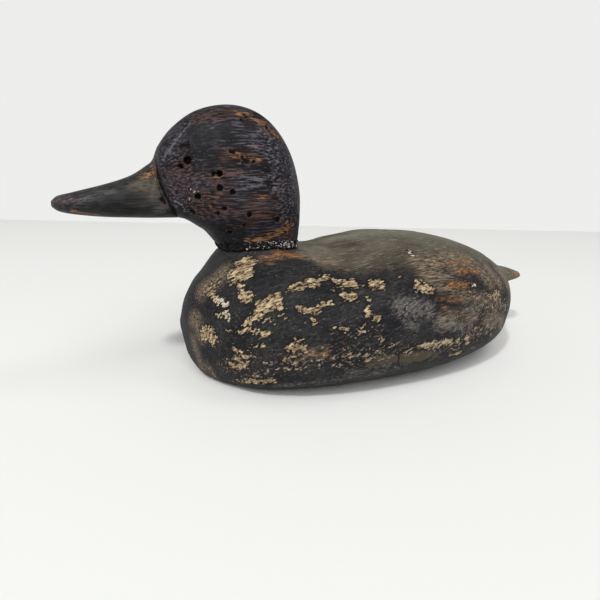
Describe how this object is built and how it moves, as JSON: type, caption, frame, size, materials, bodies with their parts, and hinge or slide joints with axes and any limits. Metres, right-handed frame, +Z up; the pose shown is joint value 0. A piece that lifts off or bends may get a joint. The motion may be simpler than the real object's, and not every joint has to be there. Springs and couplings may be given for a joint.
{
  "type": "bluebill decoy",
  "caption": "Carved wooden duck decoy with a low flat-bottomed body, a thin tail paddle and a separate head with neck and bill",
  "frame": {"origin": "centre of the bounding box at its bottom, on the flat underside that the decoy rests on", "axes": "X runs the length of the decoy with the bill towards -X and the tail towards +X; Y runs across it, and its left side faces -Y; Z is up"},
  "size_m": [0.275, 0.125, 0.1298],
  "materials": {
    "body_paint": "worn matt paint over bare wood",
    "head_paint": "worn satin paint over bare wood",
    "filler": "rough crusty filler"
  },
  "bodies": {
    "root": {"body": "body_paint", "head": "head_paint", "neck_filler": "filler"}
  },
  "joints": []
}
